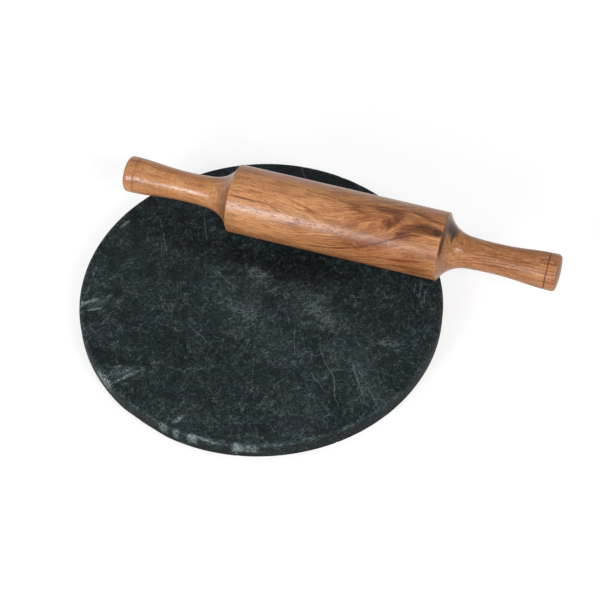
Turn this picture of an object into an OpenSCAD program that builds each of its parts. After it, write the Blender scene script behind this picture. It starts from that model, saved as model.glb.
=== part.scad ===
// Round stone rolling board for flatbreads, standing on three rubber feet,
// with its turned wooden rolling pin lying across it.
// Frame: origin at the board's centre on the surface it stands on, +Z up, +X along the pin.

/* [Board] */
// Diameter of the stone slab
slab_d = 254; // [200:1:320]
// Thickness of the stone slab
slab_t = 13; // [9:0.5:25]
// Radius of the eased upper edge
top_ease_r = 2.5; // [1:0.1:4]
// Radius of the eased lower edge
bottom_ease_r = 1.5; // [0.5:0.1:4]

/* [Feet] */
// Diameter of a foot where it is bonded to the slab
foot_d = 22; // [16:0.5:32]
// Height of a foot
foot_h = 6; // [4:0.5:12]
// How much smaller the tread's radius is than the bonded face's
foot_taper = 1.5; // [0.5:0.1:3]
// Radius of the rounded edge of the tread
foot_edge_r = 1.2; // [0.5:0.1:2]
// Diameter of the shallow dish in the tread
foot_dish_d = 9; // [4:0.5:10]
// Depth of the shallow dish in the tread
foot_dish_depth = 0.6; // [0.3:0.1:1.5]
// Distance from the slab's side to the centre of a foot
foot_inset = 27; // [20:1:50]

/* [Rolling pin] */
// Diameter of the barrel
barrel_d = 48.8; // [40:0.2:60]
// Length of the barrel between its two shoulders
barrel_l = 152.4; // [110:0.2:220]
// Radius of the eased corner at each end of the barrel
barrel_ease_r = 0.7; // [0.3:0.1:1.5]
// Radius of the cove that sweeps from the barrel down to the handle
cove_r = 22; // [18:0.5:28]
// Diameter of the handle at its neck
neck_d = 21.4; // [18:0.2:24]
// Distance from the barrel's shoulder to the neck
neck_at = 36; // [30:0.5:44]
// Distance from the barrel's shoulder to where the hollow of the neck turns into the swell
flare_at = 60; // [50:0.5:66]
// Length of a handle, from the shoulder to the crown of its end
handle_l = 82.5; // [74:0.5:100]
// Diameter of the handle where it swells most, just short of its end
grip_end_d = 26.2; // [25:0.2:32]
// Radius of the rounded edge of the handle's end
end_round_r = 3; // [1.5:0.1:5]
// Radius of the domed end face
end_dome_r = 60; // [40:1:120]
// Distance from the crown of the handle's end to the scored ring
ring_at = 9; // [7:0.5:16]
// Width of the scored ring
ring_w = 1; // [0.6:0.1:2]

/* [Pin on the board] */
// How far the middle of the pin lies to the right of the board's centre
pin_right = 37.8; // [-60:0.1:60]
// How far the pin lies behind the board's centre
pin_back = 59.7; // [-80:0.1:80]
// Gap under the barrel, because the pin lies loose on the slab
pin_gap = 0.1; // [0.05:0.05:0.5]

/* [Hidden] */
$fn = 128;
chord_error = 0.015;

stone = [0.13, 0.17, 0.16];
rubber = [0.09, 0.09, 0.09];
wood = [0.66, 0.41, 0.24];

slab_r = slab_d / 2;
slab_top = foot_h + slab_t;

foot_count = 3;
front_angle = -90;
foot_circle_r = slab_r - foot_inset;
foot_r = foot_d / 2;
tread_r = foot_r - foot_taper;

barrel_r = barrel_d / 2;
neck_r = neck_d / 2;
grip_end_r = grip_end_d / 2;
pin_axis_z = slab_top + pin_gap + barrel_r;

// The point of circle (c, r) that lies towards point p.
function towards(c, r, p) = c + r * (p - c) / norm(p - c);

// Points along the arc about c from one point up to, but not including, another. They are close
// enough together that no chord strays from the arc by more than chord_error.
function arc(c, from, to) =
    let (
        r = norm(from - c),
        start = atan2(from[1] - c[1], from[0] - c[0]),
        turn = atan2(to[1] - c[1], to[0] - c[0]) - start,
        steps = ceil(abs(turn) / (2 * acos(1 - chord_error / r)))
    )
    [for (i = [0:steps - 1]) c + r * [cos(start + turn * i / steps), sin(start + turn * i / steps)]];

// A handle is drawn with x along the pin from the shoulder and y as the radius. Its outline is
// a chain of arcs, each tangent to the next: the barrel's eased corner, the cove, the neck, the
// swell, the rounded end and the dome.
dome_c = [handle_l - end_dome_r, 0];
round_y = grip_end_r - end_round_r;
round_c = [dome_c[0] + sqrt(pow(end_dome_r - end_round_r, 2) - pow(round_y, 2)), round_y];

// The neck is level at neck_at and the swell is level over the centre of the rounded end. Both
// reach the same steepest slope where they meet, which sets their radii.
steepest = 2 * atan2(grip_end_r - neck_r, round_c[0] - neck_at);
neck_curve_r = (flare_at - neck_at) / sin(steepest);
swell_r = (round_c[0] - flare_at) / sin(steepest);
neck_c = [neck_at, neck_r + neck_curve_r];
swell_c = [round_c[0], grip_end_r - swell_r];

// The cove passes through the barrel's corner and lies inside the neck's circle, touching it.
corner = [0, barrel_r];
cove_way = norm(neck_c - corner);
cove_u = (neck_c - corner) / cove_way;
cove_along = (pow(cove_way, 2) + pow(cove_r, 2) - pow(neck_curve_r - cove_r, 2)) / (2 * cove_way);
cove_aside = sqrt(pow(cove_r, 2) - pow(cove_along, 2));
cove_c = corner + cove_along * cove_u + cove_aside * [cove_u[1], -cove_u[0]];

// The eased corner touches the barrel and the cove.
ease_y = barrel_r - barrel_ease_r;
ease_c = [cove_c[0] - sqrt(pow(cove_r + barrel_ease_r, 2) - pow(cove_c[1] - ease_y, 2)), ease_y];

// Where each arc hands over to the next.
ease_start = [ease_c[0], barrel_r];
cove_start = towards(cove_c, cove_r, ease_c);
neck_start = towards(neck_c, neck_curve_r, cove_c);
swell_start = towards(neck_c, neck_curve_r, swell_c);
round_start = [round_c[0], grip_end_r];
dome_start = towards(dome_c, end_dome_r, round_c);
crown = [handle_l, 0];

// The scored ring is centred on the handle's surface.
ring_x = handle_l - ring_at;
ring_y = swell_c[1] + sqrt(pow(swell_r, 2) - pow(ring_x - swell_c[0], 2));

// The outline of the right-hand half, from the barrel's end to the crown of its handle.
handle_points = concat(
    arc(ease_c, ease_start, cove_start),
    arc(cove_c, cove_start, neck_start),
    arc(neck_c, neck_start, swell_start),
    arc(swell_c, swell_start, round_start),
    arc(round_c, round_start, dome_start),
    arc(dome_c, dome_start, crown),
    [crown]
);
right_half = [for (p = handle_points) [p[0] + barrel_l / 2, p[1]]];
left_half = [for (i = [len(right_half) - 1:-1:0]) [-right_half[i][0], right_half[i][1]]];

module pin_outline() {
    difference() {
        polygon(concat(left_half, right_half));
        for (side = [-1, 1])
            translate([side * (barrel_l / 2 + ring_x), ring_y]) circle(d = ring_w);
    }
}

module rolling_pin() {
    color(wood)
        translate([pin_right, pin_back, pin_axis_z])
            rotate([0, 90, 0])
                rotate_extrude() mirror([1, -1]) pin_outline();
}

// What rounding off an outer corner takes away, for a corner that points up and right.
module corner_waste(r) {
    difference() {
        square(2 * r);
        circle(r);
    }
}

module slab_outline() {
    difference() {
        square([slab_r, slab_t]);
        translate([slab_r - top_ease_r, slab_t - top_ease_r]) corner_waste(top_ease_r);
        translate([slab_r - bottom_ease_r, bottom_ease_r]) mirror([0, 1]) corner_waste(bottom_ease_r);
    }
}

module marble_slab() {
    color(stone) translate([0, 0, foot_h]) rotate_extrude() slab_outline();
}

// The tread's rounded edge touches the tread and the sloping side.
foot_side = norm([foot_taper, foot_h]);
edge_c = [tread_r - foot_edge_r * (foot_side - foot_taper) / foot_h, foot_edge_r];
edge_top = edge_c + foot_edge_r * [foot_h, -foot_taper] / foot_side;
dish_r = (pow(foot_dish_d / 2, 2) + pow(foot_dish_depth, 2)) / (2 * foot_dish_depth);

module foot_outline() {
    difference() {
        union() {
            polygon([[0, 0], [edge_c[0], 0], edge_top, [foot_r, foot_h], [0, foot_h]]);
            translate(edge_c) circle(foot_edge_r);
        }
        translate([0, foot_dish_depth - dish_r]) circle(dish_r);
    }
}

module foot(index) {
    color(rubber)
        rotate([0, 0, front_angle + index * 360 / foot_count])
            translate([foot_circle_r, 0, 0]) rotate_extrude() foot_outline();
}

module front_foot() { foot(0); }
module right_foot() { foot(1); }
module left_foot() { foot(2); }

marble_slab();
front_foot();
right_foot();
left_foot();
rolling_pin();
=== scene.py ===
import math
from types import SimpleNamespace

import bpy
import numpy as np
from mathutils import Matrix, Vector


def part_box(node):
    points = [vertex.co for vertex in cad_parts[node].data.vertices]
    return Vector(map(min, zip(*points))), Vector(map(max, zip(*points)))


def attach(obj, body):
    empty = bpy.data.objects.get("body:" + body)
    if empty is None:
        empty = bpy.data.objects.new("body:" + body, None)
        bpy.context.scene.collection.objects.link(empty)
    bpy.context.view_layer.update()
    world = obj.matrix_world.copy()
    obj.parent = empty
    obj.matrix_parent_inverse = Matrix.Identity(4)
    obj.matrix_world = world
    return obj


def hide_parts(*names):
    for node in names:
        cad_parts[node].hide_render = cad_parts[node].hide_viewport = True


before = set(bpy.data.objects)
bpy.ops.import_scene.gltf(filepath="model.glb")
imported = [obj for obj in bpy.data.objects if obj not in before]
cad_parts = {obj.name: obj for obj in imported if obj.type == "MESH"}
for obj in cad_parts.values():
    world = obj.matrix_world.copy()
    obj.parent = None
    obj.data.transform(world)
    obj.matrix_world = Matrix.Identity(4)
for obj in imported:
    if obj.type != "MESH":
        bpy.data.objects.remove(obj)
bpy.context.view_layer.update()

MM = 0.001
FULL_TURN = 2 * math.pi

# The camera, in degrees, metres and millimetres of lens
CAMERA_AZIMUTH = 17.69
CAMERA_ELEVATION = 51.38
CAMERA_ROLL = 0.32
CAMERA_DISTANCE = 1.2
CAMERA_TARGET = Vector((0.02724, 0.00357, 0.019))
CAMERA_LENS = 103.62
CAMERA_SENSOR = 36

# Light: the level that the world gives alone, and two soft lamps seen from the board's centre
WORLD_LEVEL = 0.5
KEY_LAMP = {
    "azimuth": -18,
    "elevation": 22,
    "distance": 2.2,
    "width": 0.5,
    "height": 0.85,
    "power": 29,
}
FILL_LAMP = {
    "azimuth": 50,
    "elevation": 39,
    "distance": 2.2,
    "width": 0.75,
    "height": 0.65,
    "power": 20,
}
# The sweep is a white floor and wall. What shows of the floor is part lit and part glowing, so that
# it is white with a light shadow, while the object gets a plain white floor's bounce.
SWEEP_RADIUS = 30
SWEEP_HEIGHT = 12
SWEEP_STEPS = 96
FLOOR_LIT = 0.36
FLOOR_GLOW = 0.715
FLOOR_BOUNCE = 0.75
WHITE = (1, 1, 1, 1)
BLACK = (0, 0, 0, 1)

# The slab, from the frame, and the hand-cut edge that the CAD solid leaves smooth
slab_low, slab_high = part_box("marble_slab")
SLAB_R = slab_high.x
SLAB_TOP = slab_high.z
SLAB_BOTTOM = slab_low.z
TOP_EASE = 2.5 * MM
BOTTOM_EASE = 1.5 * MM
SLAB_STEPS = 960
# Rings of points on the two flat faces, as shares of the radius
TOP_RINGS = (0, 0.12, 0.3, 0.5, 0.7, 0.85, 0.93)
UNDER_RINGS = (0.985, 0.95, 0.8, 0.55, 0.3, 0.12, 0)
# Two more rings, this far inside the upper easing, keep the top looking flat beside it
TOP_SUPPORTS = (1.2 * MM, 0.3 * MM)
TOP_EASE_POINTS = 12
SIDE_POINTS = 12
BOTTOM_EASE_POINTS = 8
# The slab is cut back from this share of its radius, and in full this much further out
CUT_FROM = 0.9
CUT_BLEND = 0.09
# How far the outline and the upper easing wander, and in how many waves round the rim
SLOW_WANDER = 0.16 * MM
SLOW_WAVES = 9
FINE_WANDER = 0.024 * MM
FINE_WAVES = 60
EASE_WANDER = 0.3 * MM
EASE_WAVES = 24
# Where the outline falls inside the round: angle and half width in degrees, depth
OUT_OF_ROUND = [
    (148, 42, 1.2 * MM),
    (132, 12, 0.8 * MM),
    (-40, 34, 0.45 * MM),
    (95, 30, 0.5 * MM),
]
FLAT_ANGLE = -110
FLAT_HALF_WIDTH = 7
FLAT_DEPTH = 0.8 * MM
# Chips: their greatest depth and reach, the least shares of both, and the share on the upper arris
CHIP_COUNT = 34
CHIP_SEED = 21
CHIP_DEPTH = 0.45 * MM
CHIP_REACH = 2.2 * MM
LEAST_REACH = 0.35
LEAST_DEPTH = 0.4
UPPER_CHIPS = 0.6
# A chip's centre lies this share of the easing inside the corner. A chip is this much flatter than
# it is wide, and it is knocked inwards and this much as far up or down.
CHIP_INSET = 0.3
CHIP_FLATNESS = 1.3
CHIP_SLOPE = 0.8

# The pin, in millimetres along its axis from the shoulder and out from its axis, as in the CAD
pin_low, pin_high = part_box("rolling_pin")
PIN_MIDDLE = (pin_low + pin_high) / 2
BARREL_R = 24.4
BARREL_HALF = 76.2
EASE_R = 0.7
COVE_R = 22
NECK_R = 10.7
NECK_AT = 36
FLARE_AT = 60
HANDLE_L = 82.5
GRIP_END_R = 13.1
END_ROUND_R = 3
END_DOME_R = 60
RING_AT = 9
RING_HALF_WIDTH = 0.4
RING_DEPTH = 0.32
# The left half of the scored ring: half widths from its middle, and share of its depth
RING_PROFILE = ((-1.5, 0), (-1.1, 0.06), (-0.75, 0.4), (-0.35, 0.9), (0, 1))
RING_CLEARANCE = 0.1
# How many points each arc of a handle gets, and the rings of points along the barrel and round it
EASE_POINTS = 6
COVE_POINTS = 26
NECK_POINTS = 30
SWELL_POINTS = 26
ROUND_POINTS = 9
DOME_POINTS = 6
BARREL_RINGS = 50
PIN_STEPS = 256
# The turning is uneven by this much, in waves along the pin that twist round it, and a few times
# that under size, so that it stays inside the CAD solid. The crowns' middles are left alone.
PIN_UNEVEN = 0.015 * MM
PIN_UNDER_SIZE = 3.4
PIN_WAVE = 9 * MM
PIN_TWIST = 31 * MM
PIN_CROWN_R = 2 * MM

# The feet. The side runs straight for this share of its height and ends in a small bevel.
FOOT_NODES = ["front_foot", "right_foot", "left_foot"]
FOOT_TAPER = 1.5 * MM
FOOT_EDGE_R = 1.2 * MM
FOOT_DISH_R = 4.5 * MM
FOOT_DISH_DEPTH = 0.6 * MM
FOOT_SIDE_SHARE = 0.97
FOOT_BEVEL = 0.15 * MM
FOOT_TOP_RING = 0.6
FOOT_STEPS = 96


# Meshes

def add_object(name, data):
    """Puts a mesh, camera or lamp into the scene as an object."""
    made = bpy.data.objects.new(name, data)
    bpy.context.scene.collection.objects.link(made)
    return made


def turned(name, outline, steps, shape=None):
    """A solid turned about Z. The outline runs from one pole to the other as (radius, height), and
    shape moves an array of points once they are in place."""
    radius = np.array([p[0] for p in outline[1:-1]])
    height = np.array([p[1] for p in outline[1:-1]])
    angle = np.arange(steps) * FULL_TURN / steps
    rings = len(radius)
    points = np.zeros((rings, steps, 3))
    points[..., 0] = radius[:, None] * np.cos(angle)
    points[..., 1] = radius[:, None] * np.sin(angle)
    points[..., 2] = height[:, None]
    poles = np.array([[0, 0, outline[0][1]], [0, 0, outline[-1][1]]])
    points = np.concatenate([points.reshape(-1, 3), poles])
    if shape:
        points = shape(points)
    first, last = rings * steps, rings * steps + 1
    faces = []
    for j in range(steps):
        k = (j + 1) % steps
        faces.append((first, k, j))
        for i in range(rings - 1):
            faces.append((i * steps + j, i * steps + k, (i + 1) * steps + k, (i + 1) * steps + j))
        faces.append(((rings - 1) * steps + j, (rings - 1) * steps + k, last))
    mesh = bpy.data.meshes.new(name)
    mesh.from_pydata(points.tolist(), [], faces)
    mesh.polygons.foreach_set("use_smooth", [True] * len(mesh.polygons))
    mesh.update()
    return add_object(name, mesh)


def arc(centre, start, end, count):
    """Points on the arc about centre from start up to, but not including, end."""
    centre, start, end = (np.array(p, float) for p in (centre, start, end))
    radius = np.linalg.norm(start - centre)
    first = math.atan2(*(start - centre)[::-1])
    turn = math.atan2(*(end - centre)[::-1]) - first
    angles = first + turn * np.arange(count) / count
    return [tuple(centre + radius * np.array([math.cos(a), math.sin(a)])) for a in angles]


def towards(centre, radius, point):
    """The point of a circle that lies towards another point."""
    centre, point = np.array(centre, float), np.array(point, float)
    return centre + radius * (point - centre) / np.linalg.norm(point - centre)


def wave(angle, count, seed):
    """A smooth closed wave round the rim, from about -1 to 1, of harmonics from 2 to count - 1."""
    draw = np.random.default_rng(seed)
    total = np.zeros_like(angle)
    weight = 0
    for n in range(2, count):
        share = 1 / math.sqrt(n)
        total += share * np.cos(n * angle + draw.uniform(0, FULL_TURN))
        weight += share
    return total / weight * 2


def slab_outline():
    """The slab's outline from the middle of its top to the middle of its underside."""
    top_c = (SLAB_R - TOP_EASE, SLAB_TOP - TOP_EASE)
    low_c = (SLAB_R - BOTTOM_EASE, SLAB_BOTTOM + BOTTOM_EASE)
    flat = [(r * SLAB_R, SLAB_TOP) for r in TOP_RINGS]
    support = [(top_c[0] - gap, SLAB_TOP) for gap in TOP_SUPPORTS]
    top_arc = arc(top_c, (top_c[0], SLAB_TOP), (SLAB_R, top_c[1]), TOP_EASE_POINTS)
    side = [(SLAB_R, z) for z in np.linspace(top_c[1], low_c[1], SIDE_POINTS)[:-1]]
    low_arc = arc(low_c, (SLAB_R, low_c[1]), (low_c[0], SLAB_BOTTOM), BOTTOM_EASE_POINTS)
    under = [(r * SLAB_R, SLAB_BOTTOM) for r in UNDER_RINGS]
    return flat + support + top_arc + side + low_arc + under


def rim_cut(angle):
    """How far the outline lies inside the round: two wanders, the uneven places and the flat."""
    cut = SLOW_WANDER * (1 + wave(angle, SLOW_WAVES, seed=5))
    cut += FINE_WANDER * wave(angle, FINE_WAVES, seed=11)
    for centre, half_width, depth in OUT_OF_ROUND:
        off = (np.degrees(angle) - centre + 180) % 360 - 180
        cut += depth * np.exp(-((off / half_width) ** 2))
    off_flat = (np.degrees(angle) - FLAT_ANGLE) / FLAT_HALF_WIDTH
    return cut + FLAT_DEPTH * np.exp(-off_flat**4)


def chipped(points):
    """Knocks small chips off both arrises."""
    draw = np.random.default_rng(CHIP_SEED)
    for _ in range(CHIP_COUNT):
        a = draw.uniform(0, FULL_TURN)
        upper = draw.uniform() < UPPER_CHIPS
        reach = CHIP_REACH * draw.uniform(LEAST_REACH, 1)
        depth = CHIP_DEPTH * draw.uniform(LEAST_DEPTH, 1) * reach / CHIP_REACH
        inset = CHIP_INSET * (TOP_EASE if upper else BOTTOM_EASE)
        level = SLAB_TOP - inset if upper else SLAB_BOTTOM + inset
        rim = SLAB_R - inset
        centre = np.array([rim * math.cos(a), rim * math.sin(a), level])
        gap = np.linalg.norm((points - centre) * [1, 1, CHIP_FLATNESS], axis=1) / reach
        push = depth * np.clip(1 - gap**2, 0, 1) ** 2
        slope = -CHIP_SLOPE if upper else CHIP_SLOPE
        inward = np.array([-math.cos(a), -math.sin(a), slope])
        points = points + push[:, None] * inward / np.linalg.norm(inward)
    return points


def hand_cut(points):
    """Cuts the rim back unevenly, lets the upper easing wander and chips the arrises."""
    x, y, z = points.T
    r = np.hypot(x, y)
    angle = np.arctan2(y, x)
    near_rim = np.clip((r / SLAB_R - CUT_FROM) / CUT_BLEND, 0, 1)
    near_top = np.clip((z - SLAB_TOP + TOP_EASE) / TOP_EASE, 0, 1)
    ease_more = EASE_WANDER * wave(angle, EASE_WAVES, seed=3) * near_top
    cut = np.clip(rim_cut(angle) + np.abs(ease_more), 0, None)
    shrink = 1 - cut * near_rim / np.maximum(r, MM)
    return chipped(points * np.stack([shrink, shrink, np.ones_like(r)], 1))


def handle_outline():
    """The tangent arcs of a handle, from the barrel's end to its crown, as (along, out) in mm."""
    dome_c = (HANDLE_L - END_DOME_R, 0)
    round_y = GRIP_END_R - END_ROUND_R
    round_c = (dome_c[0] + math.sqrt((END_DOME_R - END_ROUND_R) ** 2 - round_y**2), round_y)
    steepest = 2 * math.atan2(GRIP_END_R - NECK_R, round_c[0] - NECK_AT)
    neck_curve_r = (FLARE_AT - NECK_AT) / math.sin(steepest)
    swell_r = (round_c[0] - FLARE_AT) / math.sin(steepest)
    neck_c = np.array([NECK_AT, NECK_R + neck_curve_r])
    swell_c = np.array([round_c[0], GRIP_END_R - swell_r])
    corner = np.array([0, BARREL_R])
    way = np.linalg.norm(neck_c - corner)
    u = (neck_c - corner) / way
    along = (way**2 + COVE_R**2 - (neck_curve_r - COVE_R) ** 2) / (2 * way)
    aside = math.sqrt(COVE_R**2 - along**2)
    cove_c = corner + along * u + aside * np.array([u[1], -u[0]])
    ease_y = BARREL_R - EASE_R
    ease_back = math.sqrt((COVE_R + EASE_R) ** 2 - (cove_c[1] - ease_y) ** 2)
    ease_c = np.array([cove_c[0] - ease_back, ease_y])
    cove_start = towards(cove_c, COVE_R, ease_c)
    neck_start = towards(neck_c, neck_curve_r, cove_c)
    swell_start = towards(neck_c, neck_curve_r, swell_c)
    round_start = (round_c[0], GRIP_END_R)
    dome_start = towards(dome_c, END_DOME_R, round_c)
    return (
        arc(ease_c, (ease_c[0], BARREL_R), cove_start, EASE_POINTS)
        + arc(cove_c, cove_start, neck_start, COVE_POINTS)
        + arc(neck_c, neck_start, swell_start, NECK_POINTS)
        + with_ring(arc(swell_c, swell_start, round_start, SWELL_POINTS))
        + arc(round_c, round_start, dome_start, ROUND_POINTS)
        + arc(dome_c, dome_start, (HANDLE_L, 0), DOME_POINTS)
        + [(HANDLE_L, 0)]
    )


def with_ring(points):
    """Cuts the scored ring into a stretch of the handle."""
    ring_x = HANDLE_L - RING_AT
    level = np.interp(ring_x, [p[0] for p in points], [p[1] for p in points])
    cut = [
        (ring_x + side * RING_HALF_WIDTH, level - depth * RING_DEPTH)
        for side, depth in RING_PROFILE
    ]
    cut += [(2 * ring_x - x, y) for x, y in reversed(cut[:-1])]
    before = [p for p in points if p[0] < cut[0][0] - RING_CLEARANCE]
    after = [p for p in points if p[0] > cut[-1][0] + RING_CLEARANCE]
    return before + cut + after


def pin_outline():
    """The whole pin's outline as (radius, along the pin from its middle), in metres."""
    right = [(BARREL_HALF + x, y) for x, y in handle_outline()]
    left = [(-x, y) for x, y in reversed(right)]
    barrel_x = np.linspace(left[-1][0], right[0][0], BARREL_RINGS + 2)[1:-1]
    barrel = [(x, BARREL_R) for x in barrel_x]
    return [(y * MM, x * MM) for x, y in left + barrel + right]


def lying_pin(points):
    """Lays the turned pin along X in its place and gives the turning its faint unevenness."""
    out_a, out_b, along = points.T
    angle = np.arctan2(out_b, out_a)
    waves = np.sin(along / PIN_WAVE) * np.cos(angle * 2 + along / PIN_TWIST)
    less = PIN_UNEVEN * (PIN_UNDER_SIZE + waves)
    r = np.hypot(out_a, out_b)
    keep = 1 - less / np.maximum(r, PIN_CROWN_R) * (r > PIN_CROWN_R)
    placed = np.stack([along, out_b * keep, -out_a * keep], 1)
    return placed + np.array(PIN_MIDDLE)


def foot_outline(tread_r, bond_r, height):
    """A foot's outline from the middle of its dish over the tread and side to its bonded face."""
    dish_r = (FOOT_DISH_R**2 + FOOT_DISH_DEPTH**2) / (2 * FOOT_DISH_DEPTH)
    dish_c = (0, FOOT_DISH_DEPTH - dish_r)
    slope = math.hypot(FOOT_TAPER, height)
    edge_c = np.array([tread_r - FOOT_EDGE_R * (slope - FOOT_TAPER) / height, FOOT_EDGE_R])
    edge_top = edge_c + FOOT_EDGE_R * np.array([height, -FOOT_TAPER]) / slope
    dish = arc(dish_c, (0, FOOT_DISH_DEPTH), (FOOT_DISH_R, 0), 9)
    tread = [(r, 0) for r in np.linspace(FOOT_DISH_R, edge_c[0], 6)]
    edge = arc(edge_c, (edge_c[0], 0), edge_top, 7)[1:]
    rise = np.array([bond_r, height]) - edge_top
    side = [tuple(edge_top + rise * t) for t in np.linspace(0, FOOT_SIDE_SHARE, 9)]
    top = [(bond_r - FOOT_BEVEL, height), (bond_r * FOOT_TOP_RING, height), (0, height)]
    return dish + tread + edge + side + top


# Node trees

X_AXIS = (1, 0, 0)
Y_AXIS = (0, 1, 0)
Z_AXIS = (0, 0, 1)


class Signal:
    """A value or a vector inside a node tree, so that a material reads like a formula."""

    def __init__(self, tree, socket):
        self.tree = tree
        self.socket = socket

    def node(self, kind, inputs, output=0, **settings):
        made = self.tree.nodes.new(kind)
        for key, value in settings.items():
            setattr(made, key, value)
        for slot, value in inputs.items():
            if isinstance(value, Signal):
                self.tree.links.new(value.socket, made.inputs[slot])
            else:
                made.inputs[slot].default_value = value
        return Signal(self.tree, made.outputs[output])

    def math(self, operation, *others, clamp=False):
        inputs = dict(enumerate((self, *others)))
        return self.node("ShaderNodeMath", inputs, operation=operation, use_clamp=clamp)

    def __add__(self, other):
        return self.math("ADD", other)

    def __radd__(self, other):
        return self.math("ADD", other)

    def __sub__(self, other):
        return self.math("SUBTRACT", other)

    def __rsub__(self, other):
        return (self * -1) + other

    def __mul__(self, other):
        return self.math("MULTIPLY", other)

    def most(self, other):
        return self.math("MAXIMUM", other)

    def clamped(self):
        return self.math("ADD", 0.0, clamp=True)

    def smooth(self, low, high, at_low=0.0, at_high=1.0):
        """Eases from at_low to at_high as the value goes from low to high."""
        inputs = {0: self, 1: low, 2: high, 3: at_low, 4: at_high}
        return self.node("ShaderNodeMapRange", inputs, interpolation_type="SMOOTHSTEP", clamp=False)

    def ridge(self, width, level=0.5):
        """Thin lines where the value passes a level."""
        return (self - level).math("ABSOLUTE").smooth(0.0, width, 1.0, 0.0)

    def shifted(self, offset):
        return self.node("ShaderNodeVectorMath", {0: self, 1: offset}, operation="ADD")

    def stretched(self, factors):
        return self.node("ShaderNodeVectorMath", {0: self, 1: factors}, operation="MULTIPLY")

    def drawn_out(self, share):
        """Squeezes a place along X, so that noise on it is drawn out into streaks."""
        return self.stretched((share, 1, 1))

    def bent(self, field, *amount):
        """Moves a place by a colour noise, up to about half the amount each way. The amount is one
        number for all three ways, or one for each."""
        centred = field.shifted((-0.5, -0.5, -0.5)).stretched(amount * (3 // len(amount)))
        return self.shifted(centred)

    def local(self, centre, degrees, half_sizes):
        """The place as seen from a turned ellipsoid whose surface is at length 1."""
        inputs = {0: self, 1: centre, 2: (0, 0, math.radians(degrees)), 3: half_sizes}
        return self.node("ShaderNodeMapping", inputs, vector_type="TEXTURE")

    def beside(self, x, y, degrees, half_length, half_width):
        """How far along and across a turned line the place is, each 1 at its half size."""
        c, s = math.cos(math.radians(degrees)), math.sin(math.radians(degrees))
        offset = self.shifted((-x, -y, 0))
        along = offset.dot((c / half_length, s / half_length, 0))
        return along, offset.dot((-s / half_width, c / half_width, 0))

    def length(self):
        return self.node("ShaderNodeVectorMath", {0: self}, output="Value", operation="LENGTH")

    def dot(self, direction):
        inputs = {0: self, 1: direction}
        return self.node("ShaderNodeVectorMath", inputs, output="Value", operation="DOT_PRODUCT")

    def split(self):
        made = self.tree.nodes.new("ShaderNodeSeparateXYZ")
        self.tree.links.new(self.socket, made.inputs[0])
        return [Signal(self.tree, made.outputs[i]) for i in range(3)]

    def noise(self, size, detail=2.0, roughness=0.5, colour=False):
        """Noise whose blobs are about size across, in the units of the place."""
        inputs = {"Vector": self, "Scale": 1 / size, "Detail": detail, "Roughness": roughness}
        return self.node("ShaderNodeTexNoise", inputs, output="Color" if colour else 0)

    def noise_along(self, size, detail=2.0, roughness=0.5):
        """Noise along a single value."""
        inputs = {"W": self, "Scale": 1 / size, "Detail": detail, "Roughness": roughness}
        return self.node("ShaderNodeTexNoise", inputs, noise_dimensions="1D")

    def cells(self, size, feature="F1", output="Distance"):
        inputs = {"Vector": self, "Scale": 1 / size}
        return self.node("ShaderNodeTexVoronoi", inputs, output=output, feature=feature)

    def ramp(self, stops):
        """A colour for each level, blended between the stops."""
        made = self.tree.nodes.new("ShaderNodeValToRGB")
        self.tree.links.new(self.socket, made.inputs[0])
        marks = made.color_ramp.elements
        while len(marks) < len(stops):
            marks.new(0.5)
        for mark, (level, colour) in zip(marks, stops):
            mark.position = level
            mark.color = (*colour, 1.0)
        return Signal(self.tree, made.outputs[0])

    def mix(self, colour_a, colour_b):
        """From colour_a to colour_b by this value, which is clamped to 0 to 1."""
        made = self.tree.nodes.new("ShaderNodeMix")
        made.data_type = "RGBA"
        for slot, value in ((0, self), (6, colour_a), (7, colour_b)):
            if isinstance(value, Signal):
                self.tree.links.new(value.socket, made.inputs[slot])
            else:
                made.inputs[slot].default_value = (*value, 1.0)
        return Signal(self.tree, made.outputs[2])


def new_material(name):
    """An empty material: its node tree with a principled shader, and the place on it in mm."""
    material = bpy.data.materials.new(name)
    material.use_nodes = True
    tree = material.node_tree
    shader = tree.nodes["Principled BSDF"]
    place = Signal(tree, tree.nodes.new("ShaderNodeTexCoord").outputs["Object"])
    return material, shader, place.stretched((1 / MM, 1 / MM, 1 / MM))


def plug(shader, **signals):
    """Links signals to the shader's sockets, named with underscores for spaces."""
    for name, signal in signals.items():
        signal.tree.links.new(signal.socket, shader.inputs[name.replace("_", " ")])


def settle(shader, **values):
    """Sets the shader's own sockets, named in the same way."""
    for name, value in values.items():
        shader.inputs[name.replace("_", " ")].default_value = value


def bump(height, distance_mm):
    """A bump whose height of 1 stands for distance_mm."""
    inputs = {"Height": height, "Distance": distance_mm * MM}
    return height.node("ShaderNodeBump", inputs, output="Normal")


# Marble. Places on the slab are in mm from its centre, angles in degrees.

STONE_TOP = SLAB_TOP / MM
STONE_RIM = SLAB_R / MM

# Clouds, lighter or darker, and the pin's painted shadow: x, y, half length, half width, angle,
# strength
CLOUDS_AND_PIN_SHADOW = [
    (-18, -6, 42, 24, -30, 0.55),
    (-12, 14, 22, 8, -40, 0.45),
    (42, 0, 36, 14, -22, 0.8),
    (32, -47, 22, 16, 0, 0.4),
    (76, -40, 42, 24, -48, 0.75),
    (50, -84, 28, 24, 10, 0.4),
    (5, -28, 50, 24, -25, 0.3),
    (-98, -30, 20, 26, 0, 0.3),
    (-62, -89, 16, 9, 10, 0.5),
    (-15, -75, 14, 14, 0, 0.25),
    (64, -104, 18, 12, 20, 0.4),
    # The next two darker clouds, beside the pin, are painted shadow of the pin on the stone
    (15, 32, 58, 16, 2, -1.2),
    (-50, 32, 46, 16, 0, -0.8),
    (-45, -62, 44, 22, 0, -0.15),
    (5, -118, 70, 9, 0, 0.35),
]
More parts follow.
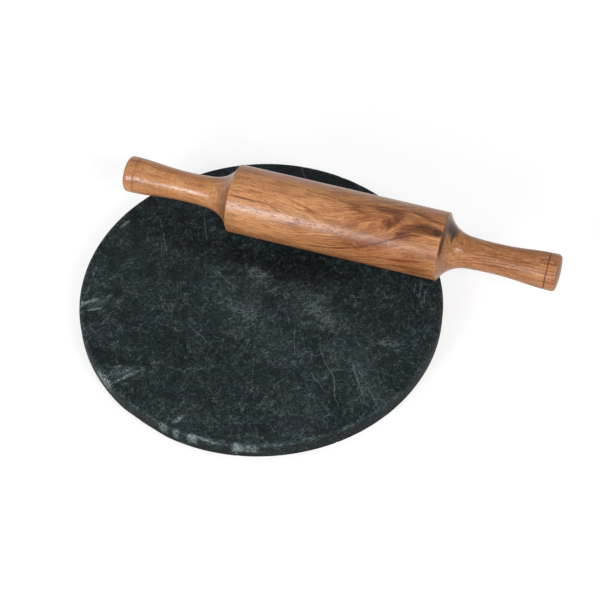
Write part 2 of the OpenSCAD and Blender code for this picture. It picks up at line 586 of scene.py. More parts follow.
# Flat dark patches, in the same form
PATCHES = [
    (-58, 1, 15, 8, 12, 0.45),
    (8, -4, 7, 4, -40, 0.4),
    (90, 10, 5, 8, 20, 0.7),
    (-78, -37, 10, 5, -60, 0.45),
    (71, -50, 6, 3, 20, 0.7),
    (58, -44, 8, 4, -40, 0.7),
    (-30, -101, 10, 4, -20, 0.7),
    (-90, -80, 10, 4, 10, 0.7),
    (-12, -93, 8, 3.5, -15, 0.6),
    (25, -60, 12, 5, -20, 0.5),
    (-100, 22, 6, 13, 15, 0.6),
    (-35, 62, 14, 8, 10, 0.6),
    (-104, 2, 5, 10, 5, 0.5),
    (2, 117, 40, 7, 0, 0.8),
]
# Pale veins: x and y of one end, x and y of the other, half width, strength
VEINS = [
    (52, -30, 60, -44, 0.32, 0.4),
    (58, -42, 69, -53, 0.36, 0.55),
    (69, -53, 73, -66, 0.36, 0.6),
    (72, -64, 79, -76, 0.32, 0.45),
    (53, -54, 68, -67, 0.32, 0.55),
    (77, -38, 89, -57, 0.42, 0.6),
    (88, -55, 95, -68, 0.34, 0.5),
    (91, -53, 103, -66, 0.36, 0.5),
    (31, -22, 38, -41, 0.32, 0.35),
    (-97, -58, -93, -43, 0.32, 0.45),
    (-104, -70, -94, -59, 0.32, 0.4),
    (-104, -5, -95, 2, 0.34, 0.4),
    (-62, 56, -52, 35, 0.32, 0.45),
    (-66, 50, -57, 33, 0.28, 0.35),
    (-92, 46, -74, 13, 0.36, 0.35),
    (-43, 15, -21, 2, 0.36, 0.28),
    (-10, 124, -2, 112, 0.5, 0.5),
    (92, -17, 106, -13, 0.4, 0.5),
    (104, 42, 106, 29, 0.4, 0.6),
    (108, 39, 110, 26, 0.36, 0.55),
    (100, 43, 101, 33, 0.34, 0.45),
    (12, -50, 18, -76, 0.28, 0.3),
    (-70, -20, -52, -34, 0.3, 0.3),
    (-40, -40, -18, -52, 0.28, 0.3),
]
# Knots of pale wisps: x, y, half length, half width, angle, strength
KNOTS = [
    (-9, 17, 16, 6, -34, 0.8),
    (43, -3, 20, 7, -25, 0.8),
    (6, 6, 9, 3, -40, 0.6),
    (84, -48, 20, 6, -56, 0.5),
    (-2, -20, 22, 9, -35, 0.3),
    (94, -15, 12, 4, 12, 0.7),
]
# Whitish torn patches by the rim and down its side, in the same form
STREAKS = [
    (-114, 33, 6, 1.8, 68, 0.8),
    (-118.5, -14, 8, 1.3, 94, 0.5),
    (-117, -31.5, 5, 1.2, 90, 0.5),
    (-111.5, -40.5, 8.5, 2.0, 38, 1.0),
    (-116.5, -45, 4, 3, 60, 1.0),
    (-106.5, -46.5, 7, 1.5, 29, 0.8),
    (-100.5, -32.5, 3, 1.3, 40, 0.6),
    (-107, -41, 11, 4, 36, 0.3),
    (-79, -98.5, 13, 2.2, -34, 1.0),
    (-64, -93.5, 15, 1.7, 47, 0.9),
    (-66.5, -90, 7, 1.1, 38, 0.7),
    (-73.5, -88, 5, 1.1, 31, 0.8),
    (-19.5, -116.5, 6, 2.0, 58, 1.0),
    (-70, -92, 13, 5, 40, 0.35),
    (-27.5, -124, 4.5, 2.8, -13, 0.8),
    (-18, -125.5, 3, 2.6, -9, 0.7),
    (-6, -126.5, 4.5, 3, -4, 0.9),
    (1.5, -125.5, 14, 0.9, -3, 0.5),
    (24.5, -124.5, 4.5, 3, 10, 1.0),
    (33, -122.5, 7, 1.6, 14, 0.6),
]
# Two families of thin strokes: their directions, the length of a stroke and the gap to the next
WISP_ANGLES = (12, 47, 78, 118, 156)
WISP_LENGTH = 14
WISP_GAP = 2.2
THREAD_ANGLES = (30, 95, 140)
THREAD_LENGTH = 9
THREAD_GAP = 1.4
# The stone's level runs from 0, black, to 1, pale. It starts from STONE_LEVEL, and each feature
# then adds or takes its share.
STONE_LEVEL = 0.352
CLOUD_AND_SHADOW_SHARE = 0.2
SHARD_SHARE = 0.11
SPLINTER_SHARE = 0.08
PATCH_SHARE = 0.06
WISP_SHARE = 0.29
THREAD_SHARE = 0.16
WEB_SHARE = 0.14
COARSE_GRAIN_SHARE = 0.1
FINE_GRAIN_SHARE = 0.2
PRICK_SHARE = 0.38
# The next two shares are a painted shade on the slab's side and a painted highlight on its upper
# arris
SIDE_SHADE_SHARE = 0.28
ARRIS_HIGHLIGHT_SHARE = 0.24
# Lines are weaker in a patch by PATCH_CALM, and stronger in a knot by KNOT_GAIN
LINE_GAIN = 0.85
KNOT_GAIN = 1.7
PATCH_CALM = 0.6
# Colours, with the levels of the ramp in steps that look even
MARBLE_TONES = [
    (0.0, (0.0016, 0.0028, 0.0030)),
    (0.25, (0.0070, 0.0112, 0.0122)),
    (0.5, (0.0170, 0.0256, 0.0275)),
    (0.75, (0.0370, 0.0520, 0.0545)),
    (1.0, (0.0800, 0.1050, 0.1070)),
]
MARBLE_PLUM = (0.0135, 0.0135, 0.0170)
MARBLE_PALE = (0.27, 0.34, 0.35)
# Factors that tint the stone from place to place
REDDER = (1.06, 0.98, 1.01)
GREENER = (0.91, 1.01, 0.98)
UNTINTED = (1.0, 1.0, 1.0)
BLUER = (0.99, 0.98, 1.07)
MARBLE_ROUGHNESS = 0.38
MARBLE_SPECULAR = 0.09
MARBLE_BUMP_MM = 0.012


def sum_of(signals):
    """Adds each signal as soon as it is made, because the renderer can hold only so many."""
    signals = iter(signals)
    total = next(signals)
    for signal in signals:
        total = total + signal
    return total


def blots(place, rows, soft_from):
    """The sum of soft ellipses. Each is full inside soft_from of its size and gone at its edge."""
    def blot(x, y, half_length, half_width, degrees, strength):
        along, aside = place.beside(x, y, degrees, half_length, half_width)
        square = aside.math("MULTIPLY_ADD", aside, along * along)
        return square.smooth(soft_from**2, 1.0, strength, 0.0)

    return sum_of(blot(*row) for row in rows)


def vein(place, x0, y0, x1, y1, half_width, strength):
    """A vein along a line, which the bent place makes wander, thinning out at both ends."""
    half = math.hypot(x1 - x0, y1 - y0) / 2
    degrees = math.degrees(math.atan2(y1 - y0, x1 - x0))
    along, aside = place.beside((x0 + x1) / 2, (y0 + y1) / 2, degrees, half, half_width)
    taper = along.math("ABSOLUTE").smooth(0.6, 1.15, strength, 0.0)
    return aside.math("ABSOLUTE").smooth(0.3, 1.3, 1.0, 0.0) * taper


def cracks(place, size, half_width):
    """A net of thin lines between cells of about that size."""
    return place.cells(size, "DISTANCE_TO_EDGE").smooth(0.0, half_width / size, 1.0, 0.0)


def cell_tones(place, size):
    """A random tone for each cell, centred on 0."""
    return place.cells(size, output="Color").dot(X_AXIS) - 0.5


def strokes(place, degrees, length, gap):
    """Thin broken lines that run one way, about a gap apart."""
    turned_place = place.local((degrees, -degrees, 0), degrees, (length, gap, gap))
    lines = turned_place.noise(1, 1, 0.5).ridge(0.065)
    return lines * turned_place.shifted((9, 4, 2)).noise(0.8, 2, 0.6).smooth(0.48, 0.58)


def marble_areas(place, torn, crossed, ragged):
    """The broad areas: clouds, among them the pin's painted shadow, angular shards, and flat
    patches, some from the table, some by chance."""
    drifting = torn.bent(place.noise(16, 2, colour=True), 18)
    cloud_and_shadow = blots(drifting, CLOUDS_AND_PIN_SHADOW, 0.0)
    shards = cell_tones(crossed, 13) * SHARD_SHARE
    shards = shards + cell_tones(ragged.shifted((40, 9, 3)), 5) * SPLINTER_SHARE
    chance = torn.noise(15, 3, 0.6).smooth(0.58, 0.62) * 0.7
    uneven = torn.bent(place.noise(6, 4, 0.7, colour=True), 12)
    patch = blots(uneven, PATCHES, 0.7).most(chance).clamped()
    return cloud_and_shadow, shards, patch


def marble_texture(crossed, ragged, crisp):
    """The fine structure: crossing strokes with a broken web, random grains and dark pricks."""
    wisps = sum_of(strokes(crossed, a, WISP_LENGTH, WISP_GAP) for a in WISP_ANGLES)
    threads = sum_of(strokes(crossed, a, THREAD_LENGTH, THREAD_GAP) for a in THREAD_ANGLES)
    gaps = ragged.noise(6, 3, 0.6).smooth(0.4, 0.54)
    web = cracks(ragged, 4.4, 0.3) * gaps
    grains = cell_tones(crisp, 1.9) * COARSE_GRAIN_SHARE
    grains = grains + cell_tones(crisp.shifted((7, 3, 9)), 1.05) * FINE_GRAIN_SHARE
    pricks = crisp.cells(2.3).smooth(0.14, 0.3, 1.0, 0.0)
    pricks = pricks * ragged.noise(7, 2).smooth(0.44, 0.58)
    lines = wisps * WISP_SHARE + threads * THREAD_SHARE + web * WEB_SHARE
    return lines, grains, pricks


def marble_face(place, torn, crossed, ragged, crisp):
    """The level of the flat face, and the patches, lines and pricks that make it."""
    cloud_and_shadow, shards, patch = marble_areas(place, torn, crossed, ragged)
    lively = 1 - patch * PATCH_CALM
    lines, grains, pricks = marble_texture(crossed, ragged, crisp)
    knots = blots(torn, KNOTS, 0.1)
    level = STONE_LEVEL + cloud_and_shadow * CLOUD_AND_SHADOW_SHARE + shards - patch * PATCH_SHARE
    detail = lines * (knots * KNOT_GAIN + LINE_GAIN) + grains - pricks * PRICK_SHARE
    level = level + detail * lively
    wandering = place.bent(place.noise(7, 3, 0.6, colour=True), 3.6)
    broken = ragged.noise(2.6, 3, 0.6).smooth(0.34, 0.54)
    veins = sum_of(vein(wandering, *row) for row in VEINS)
    return level + veins * (broken * 1.1 + 0.7), patch, lines, pricks


def marble_colour(level, patch, slow):
    """The stone's green at a level, tinted from place to place, and a plum black in patches."""
    tone = level.ramp(MARBLE_TONES)
    tint = slow.noise(17, 3, 0.6).smooth(0.36, 0.64).mix(REDDER, GREENER)
    blue = slow.shifted((50, 20, 0)).noise(14, 3, 0.6).smooth(0.5, 0.66)
    tone = tone.stretched(tint).stretched(blue.mix(UNTINTED, BLUER))
    return (patch * 0.4).clamped().mix(tone, MARBLE_PLUM)


def with_scars(tone, place, lines, z, out):
    """Lays the whitish torn streaks and the scuffs of the rim over the stone."""
    frayed = place.bent(place.noise(1.5, 3, 0.65, colour=True), 3.0)
    shreds = frayed.noise(1.1, 3, 0.7).smooth(0.44, 0.6)
    fading = (z + frayed.noise(2.5, 3, 0.6) * 10).smooth(STONE_TOP - 4, STONE_TOP)
    streaks = blots(frayed, STREAKS, 0.0) * (shreds * 0.95 + lines * 0.5) * fading
    scuffs = out.smooth(STONE_RIM - 2.5, STONE_RIM - 0.6)
    scuffs = scuffs * frayed.noise(5, 4, 0.7).smooth(0.58, 0.7) * shreds * 0.35
    return (streaks * 0.8 + scuffs).clamped().mix(tone, MARBLE_PALE)


def marble():
    """Dark green marble: grains and crossing strokes in clouds, with patches, veins and streaks."""
    material, shader, place = new_material("green_marble")
    slow = place.bent(place.noise(26, 2, colour=True), 14)
    torn = place.bent(place.noise(5, 4, 0.65, colour=True), 7)
    crossed = place.bent(place.noise(9, 2, 0.5, colour=True), 3.2)
    ragged = place.bent(place.noise(3.2, 3, 0.6, colour=True), 2.4)
    crisp = ragged.bent(place.noise(0.9, 2, 0.6, colour=True), 0.7)
    level, patch, lines, pricks = marble_face(place, torn, crossed, ragged, crisp)

    # Painted shade darkens the sawn side, and a painted highlight lightens the arris here and there
    z = place.dot(Z_AXIS)
    out = place.stretched((1, 1, 0)).length()
    side = z.smooth(STONE_TOP - 2.4, STONE_TOP - 1.0, 1.0, 0.0)
    # The arris gets a painted highlight, broken up by the worn pattern, which also roughens the
    # rim's bump
    arris = out.smooth(STONE_RIM - 3.4, STONE_RIM - 2.2)
    arris = arris * z.smooth(STONE_TOP - 2.6, STONE_TOP - 1.6)
    worn = ragged.stretched((0.5, 0.5, 1)).noise(2.0, 3, 0.7)
    level = level - side * SIDE_SHADE_SHARE + arris * worn.smooth(0.42, 0.62) * ARRIS_HIGHLIGHT_SHARE

    tone = marble_colour(level, patch, slow)
    tone = with_scars(tone, place, lines, z, out)
    grain = place.noise(0.5, 2, 0.6)
    height = grain * 0.3 + lines * 1.2 - pricks * 0.8
    height = height + out.smooth(STONE_RIM - 3, STONE_RIM - 1) * worn * 3
    rough = grain * 0.12 + MARBLE_ROUGHNESS + out.smooth(STONE_RIM - 3, STONE_RIM - 1) * 0.16
    plug(shader, Base_Color=tone, Roughness=rough, Normal=bump(height, MARBLE_BUMP_MM))
    settle(shader, Specular_IOR_Level=MARBLE_SPECULAR)
    return material


# Wood. Places are in mm from the pin's middle. The growth layers are seen along, up and out of the
# side where the figure is centred. That side turns upwards to the right, between two places along.

FIGURE_ANGLE = 36
FIGURE_END_ANGLE = 76
FIGURE_TURNS_FROM = -10
FIGURE_TURNS_TO = 62
# The growth layers climb steadily along the pin, by more in two stretches, and faster again on the
# right handle: slopes, and where each stretch starts and ends and what it adds
LAYER_SLOPE = -0.012
LAYER_STEPS = [(-38, -2, -1.7), (15, 62, -2.6)]
HANDLE_SLOPE = -0.05
HANDLE_FROM = 78
# The layer that shows as one dark line
DARK_LAYER = 17.5
WOOD_LIGHT = (0.63, 0.305, 0.130)
WOOD_BODY = (0.385, 0.143, 0.048)
WOOD_RED = (0.285, 0.086, 0.025)
WOOD_LATE = (0.155, 0.050, 0.016)
WOOD_HEART = (0.105, 0.028, 0.007)
# The colour of the painted shade in the right shoulder's crease and cove
WOOD_PAINTED_SHADE = (0.055, 0.021, 0.012)
WOOD_BLACK = (0.030, 0.013, 0.007)
LEFT_END_GRAIN = (0.11, 0.062, 0.026)
RIGHT_END_GRAIN = (0.19, 0.085, 0.024)
LACQUER_TINT = (0.75, 0.92, 1.0, 1.0)
LACQUER_SPECULAR = 0.36
LACQUER_ROUGHNESS = 0.2
WOOD_BUMP_MM = 0.035
DEGREE_ON_BARREL = BARREL_R * math.radians(1)

# Marks on the unrolled surface: mm along, degrees round, half length and half width in mm, angle,
# strength. 0 degrees faces the user and 90 is the top.
HEART_MARKS = [
    (39, 67, 8, 5.5, 40, 0.95),
    (36, 90, 16, 4, 2, 1.1),
    (12, 84, 10, 1.8, -5, 0.7),
    (16, 76, 9, 2, -8, 0.7),
    (44, 80, 6, 5, 50, 0.9),
    (47, 51, 7, 2.2, 36, 1.0),
    (53, 60, 10, 6, 34, 1.5),
    (20, 22, 20, 2.0, 14, 0.45),
    (59, 66, 10, 6, 22, 1.2),
    (68, 70, 11, 5.5, -4, 1.2),
    (64, 92, 14, 1.6, -12, 0.7),
    (34, 3.5, 15, 0.9, 3, 0.6),
    (59, 12, 18, 0.9, 11, 0.65),
    (58, -6, 17, 3.2, 6, 0.75),
    (66, -15, 13, 3, 3, 0.7),
    (52, 8, 16, 1.6, 8, 0.6),
    (-62, 52.5, 17, 1.1, 0, 0.9),
    (-42, 48, 8, 1.0, -20, 0.8),
    (-24, 62, 16, 0.9, -17, 0.6),
    (-16, 58, 14, 0.8, -17, 0.5),
    (-12, 91, 15, 0.9, -4, 0.7),
    (-66, -8, 4, 2.2, 0, 0.5),
    (-46, -7, 6, 2.4, 0, 0.5),
    (-82, 36, 5, 12, 0, 0.45),
    (-30, 22, 16, 0.9, 8, 0.35),
    (114, 65, 28, 1.6, 8, 0.6),
    (119, 55, 32, 1.9, 6, 0.75),
    (120, 44, 30, 1.6, 10, 0.6),
    (120, 24, 30, 1.8, 9, 0.7),
    (104, 33, 12, 1.6, 4, 0.6),
    (122, 37, 10, 1.6, 5, 0.6),
]
BLACK_MARKS = [
    (57, 68, 8, 1.4, 26, 0.5),
    (66, 72, 8, 1.8, 0, 0.8),
    (73.5, 70, 4.5, 2.8, -8, 1.1),
    (70, 65, 6, 0.8, 0, 0.7),
    (49, 54, 6, 0.7, 36, 0.6),
    (72, 29, 4, 2.2, 0, 0.4),
    (55, 98, 6, 0.8, -25, 0.6),
    (-53, 36, 1.0, 0.6, 60, 1.4),
    (-22.8, 94, 1.8, 0.5, 0, 1.0),
    (1.7, 88, 3, 0.5, -5, 1.0),
    (-147, 28.6, 1.7, 0.8, 0, 1.0),
    (156, 22, 2.4, 0.6, -20, 0.8),
]
# Painted shade: the dark line in the crease under the right shoulder, and the dark part of the cove
# beside it
SHOULDER_SHADE_MARKS = [
    (79, 62, 8, 17, 0, 1.0),
]
COVE_SHADE_MARKS = [
    (81, 99, 6, 13, 0, 1.2),
    (82.5, 76, 1.4, 9, 0, 0.8),
]
RED_MARKS = [
    (34, 45, 44, 36, 0, 0.65),
    (14, 20, 28, 6, 12, 1.0),
    (24, 22, 16, 4, 14, 0.7),
    (42, 36, 14, 4, 30, 0.5),
    (60, 2, 18, 6, 8, 0.6),
    (62, 26, 16, 6, 8, 0.6),
    (112, 50, 34, 18, 4, 0.6),
    (66, 96, 30, 12, 0, 0.4),
]
LIGHT_MARKS = [
    (29, 71, 6, 4.5, -20, 1.0),
    (50, 74, 5, 4, -30, 0.9),
    (55, 92, 7, 3, -30, 0.7),
    (-36, 76, 60, 20, -4, 1.0),
    (-50, 14, 30, 14, 4, 0.9),
    (22, 99, 24, 5, 0, 0.8),
    (18, 67, 20, 5, -5, 0.4),
    (22, -9, 20, 4, 0, 0.6),
    (116, 80, 34, 16, 0, 0.45),
    (116, 35, 34, 8, 4, 0.5),
]
# Where the growth layers show as nested arcs
ARC_MARKS = [
    (-24, 36, 26, 12, 0, 1.0),
]


def marks(place, rows, soft_from):
    """Blots whose second number is in degrees round the pin."""
    rows = [(x, degrees * DEGREE_ON_BARREL, *rest) for x, degrees, *rest in rows]
    return blots(place, rows, soft_from)


def wood_places(place):
    """Where a place on the pin is, in mm: along, across and high from its middle, on its unrolled
    surface as sheet, and in the grain, along and up and out of the figured side."""
    middle = PIN_MIDDLE / MM
    centred = place.shifted((-middle.x, -middle.y, -middle.z))
    along, across, high = centred.split()
    turn = high.math("ARCTAN2", across * -1) * (math.degrees(1) * DEGREE_ON_BARREL)
    sheet = along.node("ShaderNodeCombineXYZ", {0: along, 1: turn, 2: 0.0})
    angles = math.radians(FIGURE_ANGLE), math.radians(FIGURE_END_ANGLE)
    aim = along.smooth(FIGURE_TURNS_FROM, FIGURE_TURNS_TO, *angles)
    out = high * aim.math("SINE") - across * aim.math("COSINE")
    up = high * aim.math("COSINE") + across * aim.math("SINE")
    grain = along.node("ShaderNodeCombineXYZ", {0: along, 1: up, 2: out})
    return SimpleNamespace(along=along, across=across, high=high, sheet=sheet, grain=grain)


def growth(at):
    """Growth layers, which climb to the right, with their bands, rings and one dark line."""
    along = at.along
    drift = at.grain.stretched((0.035, 0.12, 0.12)).noise(1, 3, 0.5, colour=True)
    flow = at.grain.bent(drift, 2.4)
    up, out = flow.dot(Y_AXIS), flow.dot(Z_AXIS)
    climb = along * LAYER_SLOPE
    for start, end, rise in LAYER_STEPS:
        climb = climb + along.smooth(start, end, 0.0, rise)
    layer = out + climb + (along - HANDLE_FROM).most(0) * HANDLE_SLOPE
    bands = layer.noise_along(1.1, 3, 0.6).smooth(0.36, 0.66)
    rings = layer.noise_along(0.42, 3, 0.65).smooth(0.42, 0.64)
    line = layer.ridge(0.8, DARK_LAYER) * along.smooth(-22, -12) * along.smooth(48, 56, 1.0, 0.0)
    line = line * up.smooth(-3, -1, 1.0, 0.0)
    return SimpleNamespace(
        drift=drift, flow=flow, layer=layer, bands=bands, rings=rings, dark_line=line
    )


def fibres(at, grown):
    """What runs along the grain: fibres, hairs, pores, glints, and slower changes of tone. The
    figure is weak on the left handle, and its bands are strong on the right one."""
    along, grain = at.along, at.grain
    figured = along.smooth(-84, -70, 0.35, 1.0)
    streaked = along.smooth(84, 96, 0.45, 0.95) * figured
    fibre = grain.drawn_out(0.07).noise(0.9, 3, 0.65)
    hair = grain.drawn_out(0.05).noise(0.4, 2, 0.6)
    pores = grain.drawn_out(0.2).noise(0.62, 2, 0.5).smooth(0.58, 0.68)
    glints = grain.shifted((11, 5, 3)).drawn_out(0.25).noise(0.7, 2, 0.5).smooth(0.6, 0.72)
    blotch = grain.drawn_out(0.3).noise(8, 3, 0.55)
    patchy = grown.flow.drawn_out(0.14).noise(2.2, 4, 0.7).smooth(0.5, 0.6) * along.smooth(-15, 12)
    warm = grain.drawn_out(0.2).bent(grown.drift, 2).noise(3.4, 3, 0.6)
    return SimpleNamespace(
        figured=figured,
        streaked=streaked,
        fibre=fibre,
        hair=hair,
        pores=pores,
        glints=glints,
        blotch=blotch,
        patchy=patchy,
        warm=warm,
    )


def wood_marks(at, layer):
    """The marks from the tables, frayed along the grain by as much as suits each kind."""
    sheet = at.sheet
    shred = at.grain.drawn_out(0.12).noise(1.8, 4, 0.7, colour=True)
    frayed = sheet.bent(shred, 9, 3.4, 0)
    heart = marks(frayed, HEART_MARKS, 0.3).clamped()
    black = marks(sheet.bent(shred, 3, 1.6, 0), BLACK_MARKS, 0.4)
    # The painted shade at the right shoulder: a dark line on the barrel's edge, and the dark part
    # of the cove
    shade_sheet = sheet.bent(shred, 0.8, 0.8, 0)
    radius = at.high.math("MULTIPLY_ADD", at.high, at.across * at.across).math("SQRT")
    lip = radius.smooth(BARREL_R - 4.6, BARREL_R - 2.4)
    lip = lip * at.along.smooth(BARREL_HALF - 0.4, BARREL_HALF + 0.2)
    shoulder_shade = (marks(shade_sheet, SHOULDER_SHADE_MARKS, 0.6) * lip).most(marks(shade_sheet, COVE_SHADE_MARKS, 0.2))
    red = marks(frayed, RED_MARKS, 0.2)
    light = marks(frayed, LIGHT_MARKS, 0.2)
    arcs = layer.noise_along(0.3, 2, 0.6).smooth(0.5, 0.62) * marks(sheet, ARC_MARKS, 0.4)
    return SimpleNamespace(heart=heart, black=black, shoulder_shade=shoulder_shade, red=red, light=light, arcs=arcs)


def wood_tone(grown, fine, mark):
    """The wood's colour, from its broad bands to its finest lines."""
    light, heart, fibre = mark.light, mark.heart, fine.fibre
    # Bands between the light ground and the body colour, and redder areas
    body = grown.bands * fine.streaked + (fine.blotch - 0.5) * 1.5 + 0.22 - light * 0.5
    tone = body.clamped().mix(WOOD_LIGHT, WOOD_BODY)
    tone = (fine.warm.smooth(0.42, 0.68, 0.0, 0.5) + mark.red * 0.5).clamped().mix(tone, WOOD_RED)
    # Growth rings, patches and nested arcs of late wood
    tone = (grown.rings * (0.55 - light * 0.2) * fine.figured).clamped().mix(tone, WOOD_LATE)
    tone = (fine.patchy * 0.4 + mark.arcs * 0.45).mix(tone, WOOD_LATE)
    # Darker and lighter fibres
    tone = fibre.smooth(0.52, 0.74, 0.0, 0.5).mix(tone, WOOD_LATE)
    tone = fibre.smooth(0.46, 0.28, 0.0, 0.4).mix(tone, WOOD_LIGHT)
    # Heartwood and the dark line, fibrous at their edges
    tone = (heart * (grown.rings * 0.25 + fibre * 0.9 + 0.2)).clamped().mix(tone, WOOD_HEART)
    tone = (grown.dark_line * (fibre * 1.2 + 0.25)).clamped().mix(tone, WOOD_HEART)
    # Hairs, pores and glints
    tone = fine.hair.smooth(0.5, 0.75, 0.0, 0.5).mix(tone, WOOD_LATE)
    tone = (fine.pores * 0.55).mix(tone, WOOD_HEART)
    return (fine.glints * (0.5 - heart * 0.3)).clamped().mix(tone, WOOD_LIGHT)


def with_end_grain(tone, at):
    """Darkens the faces that cut across the grain, the left end more than the right."""
    tree = at.along.tree
    normal = Signal(tree, tree.nodes.new("ShaderNodeTexCoord").outputs["Normal"])
    end_grain = normal.dot(X_AXIS).math("ABSOLUTE").smooth(0.35, 0.97)
    mottle = at.grain.noise(1.3, 3, 0.6).smooth(0.4, 0.62, 0.35, 1.0)
    end_tone = at.along.smooth(-1, 1).mix(LEFT_END_GRAIN, RIGHT_END_GRAIN)
    return (end_grain * mottle * 0.85).mix(tone, end_tone)


def wood():
    """Turned hardwood under lacquer: growth layers in the solid, dark heartwood, fibres, pores."""
    material, shader, place = new_material("pin_wood")
    at = wood_places(place)
    along = at.along
    grown = growth(at)
    fine = fibres(at, grown)
    mark = wood_marks(at, grown.layer)
    tone = with_end_grain(wood_tone(grown, fine, mark), at)

    # What the lathe left: faint lines round the handles, and the scored rings, darkened by dirt and
    # by painted shade in their grooves
    off_barrel = along.math("ABSOLUTE").smooth(BARREL_HALF, BARREL_HALF + 8)
    lathe = along.noise_along(1.0, 3, 0.7).smooth(0.5, 0.7) * off_barrel
    tone = (lathe * 0.28).mix(tone, WOOD_LATE)
    ring_gap = along.math("ABSOLUTE") - (BARREL_HALF + HANDLE_L - RING_AT)
    scored = ring_gap.math("ABSOLUTE").smooth(0.15, 0.7, 1.0, 0.0)
    # Dirt and painted shade darken the scored rings, more on the right
    tone = (scored * along.smooth(-10, 10, 0.3, 0.85)).mix(tone, WOOD_HEART)
    # The black marks, and the painted shade at the right shoulder and cove, lie over all of it
    tone = (mark.black * (fine.fibre * 1.6 - 0.1)).clamped().mix(tone, WOOD_BLACK)
    tone = (mark.shoulder_shade * (fine.fibre * 0.6 + 0.55)).clamped().mix(tone, WOOD_PAINTED_SHADE)

    worn = along.smooth(90, 118, 0.0, 0.2) + off_barrel * along.smooth(-80, 80, -0.05, -0.08)
    rough = fine.fibre * 0.16 + fine.pores * 0.15 + LACQUER_ROUGHNESS + worn
    height = fine.fibre * -0.35 + grown.rings * -0.25 - fine.pores * 0.7 - lathe * 0.5
    height = height + place.noise(4, 2, 0.5) * 1.2
    plug(shader, Base_Color=tone, Roughness=rough, Normal=bump(height, WOOD_BUMP_MM))
    settle(shader, Specular_IOR_Level=LACQUER_SPECULAR, Specular_Tint=LACQUER_TINT)
    return material


# Rubber

CLEAN_RUBBER = (0.022, 0.022, 0.023)
DUSTY_RUBBER = (0.055, 0.053, 0.050)
RUBBER_ROUGHNESS = 0.62
RUBBER_SPECULAR = 0.35
RUBBER_BUMP_MM = 0.02


def rubber():
    """Matt black moulded rubber with a fine cast texture and a little dust."""
    material, shader, place = new_material("foot_rubber")
    cast = place.noise(0.35, 2, 0.6)
    dust = place.noise(4, 4, 0.65).smooth(0.5, 0.75)
    tone = (dust * 0.5).mix(CLEAN_RUBBER, DUSTY_RUBBER)
    rough = cast * 0.15 + RUBBER_ROUGHNESS
    plug(shader, Base_Color=tone, Roughness=rough, Normal=bump(cast, RUBBER_BUMP_MM))
    settle(shader, Specular_IOR_Level=RUBBER_SPECULAR)
    return material


# Stage

def looking_at(target, azimuth, elevation, distance):
    """The place and turn of something that looks at a target from a distance, with its up side
    up. Azimuth 0 stands at -Y."""
    a, e = math.radians(azimuth), math.radians(elevation)
    back = Vector((math.sin(a) * math.cos(e), -math.cos(a) * math.cos(e), math.sin(e)))
    turn = (-back).to_track_quat("-Z", "Y").to_matrix().to_4x4()
    return Matrix.Translation(target + back * distance) @ turn


def add_camera():
    data = bpy.data.cameras.new("camera")
    data.lens = CAMERA_LENS
    data.sensor_width = CAMERA_SENSOR
    camera = add_object("camera", data)
    level = looking_at(CAMERA_TARGET, CAMERA_AZIMUTH, CAMERA_ELEVATION, CAMERA_DISTANCE)
    camera.matrix_world = level @ Matrix.Rotation(math.radians(-CAMERA_ROLL), 4, "Z")
    bpy.context.scene.camera = camera


def add_lamp(name, azimuth, elevation, distance, width, height, power):
    """A soft rectangular lamp that faces the board's centre."""
    data = bpy.data.lights.new(name, "AREA")
    data.shape = "RECTANGLE"
    data.size = width
    data.size_y = height
    data.energy = power
    lamp = add_object(name, data)
    lamp.matrix_world = looking_at(Vector(), azimuth, elevation, distance)


def seen_rays(tree):
    """1 for rays that show the background: from the camera, in gloss or through glass."""
    path = tree.nodes.new("ShaderNodeLightPath")
    names = ("Is Camera Ray", "Is Glossy Ray", "Is Transmission Ray")
    camera, gloss, glass = (Signal(tree, path.outputs[name]) for name in names)
    return camera.most(gloss).most(glass)


def add_world():
    """A plain white room that lights the object at WORLD_LEVEL."""
    world = bpy.data.worlds.new("studio")
    bpy.context.scene.world = world
    world.use_nodes = True
    background = world.node_tree.nodes["Background"]
    background.inputs["Color"].default_value = WHITE
    background.inputs["Strength"].default_value = WORLD_LEVEL


def stage_piece(name, points, faces, material):
    """A piece of the studio round the object."""
    mesh = bpy.data.meshes.new(name)
    mesh.from_pydata(points, [], faces)
    mesh.materials.append(material)
    piece = add_object(name, mesh)


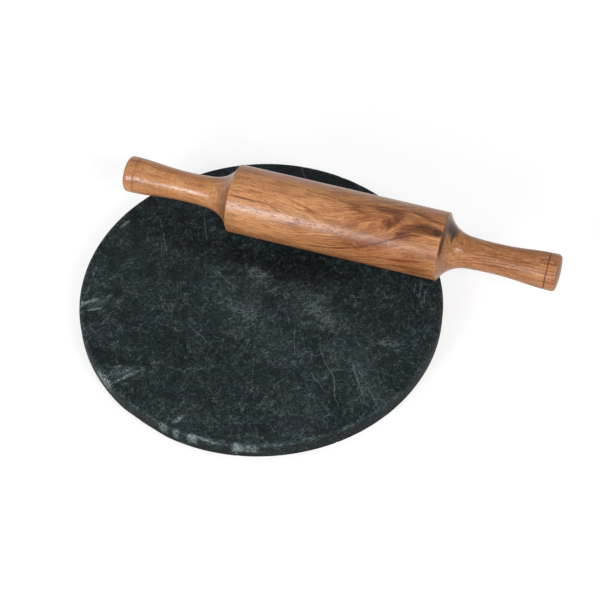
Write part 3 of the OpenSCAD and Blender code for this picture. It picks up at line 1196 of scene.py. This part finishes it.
def add_sweep():
    """The white floor, and round it a wall that shows as white but lights like the world."""
    angles = [FULL_TURN * i / SWEEP_STEPS for i in range(SWEEP_STEPS)]
    ring = [(SWEEP_RADIUS * math.cos(a), SWEEP_RADIUS * math.sin(a)) for a in angles]
    foot = [(x, y, 0) for x, y in ring]
    head = [(x, y, SWEEP_HEIGHT) for x, y in ring]

    material, shader, _ = new_material("floor_white")
    seen = seen_rays(material.node_tree)
    lit = seen.mix((FLOOR_BOUNCE,) * 3, (FLOOR_LIT,) * 3)
    plug(shader, Base_Color=lit, Emission_Strength=seen * FLOOR_GLOW)
    settle(shader, Emission_Color=WHITE, Roughness=1.0, Specular_IOR_Level=0.0)
    stage_piece("floor", foot, [tuple(range(SWEEP_STEPS))], material)

    material, shader, _ = new_material("wall_white")
    level = seen_rays(material.node_tree) * (1 - WORLD_LEVEL) + WORLD_LEVEL
    plug(shader, Emission_Strength=level)
    settle(shader, Base_Color=BLACK, Emission_Color=WHITE, Specular_IOR_Level=0.0)
    steps = [(i, (i + 1) % SWEEP_STEPS) for i in range(SWEEP_STEPS)]
    faces = [(j, i, SWEEP_STEPS + i, SWEEP_STEPS + j) for i, j in steps]
    stage_piece("wall", foot + head, faces, material)


# Pieces

def dress(piece, material, body, node):
    """Gives a piece its material, hangs it on its body and hides the CAD part that it stands for.
    """
    piece.data.materials.append(material)
    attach(piece, body)
    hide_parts(node)


def add_slab():
    slab = turned("marble_slab_hand_cut", slab_outline()[::-1], SLAB_STEPS, hand_cut)
    dress(slab, marble(), "board", "marble_slab")


def add_pin():
    pin = turned("rolling_pin_turned", pin_outline(), PIN_STEPS, lying_pin)
    dress(pin, wood(), "rolling_pin", "rolling_pin")


def add_feet():
    material = rubber()
    for node in FOOT_NODES:
        low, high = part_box(node)
        centre = (low + high) / 2
        bond_r = (high.x - low.x) / 2
        outline = foot_outline(bond_r - FOOT_TAPER, bond_r, high.z - low.z)
        place = np.array([centre.x, centre.y, low.z])
        foot = turned(node + "_moulded", outline, FOOT_STEPS, lambda points: points + place)
        dress(foot, material, "board", node)


bpy.context.scene.view_settings.view_transform = "Standard"
add_camera()
add_world()
add_lamp("key", **KEY_LAMP)
add_lamp("fill", **FILL_LAMP)
add_sweep()
add_slab()
add_pin()
add_feet()
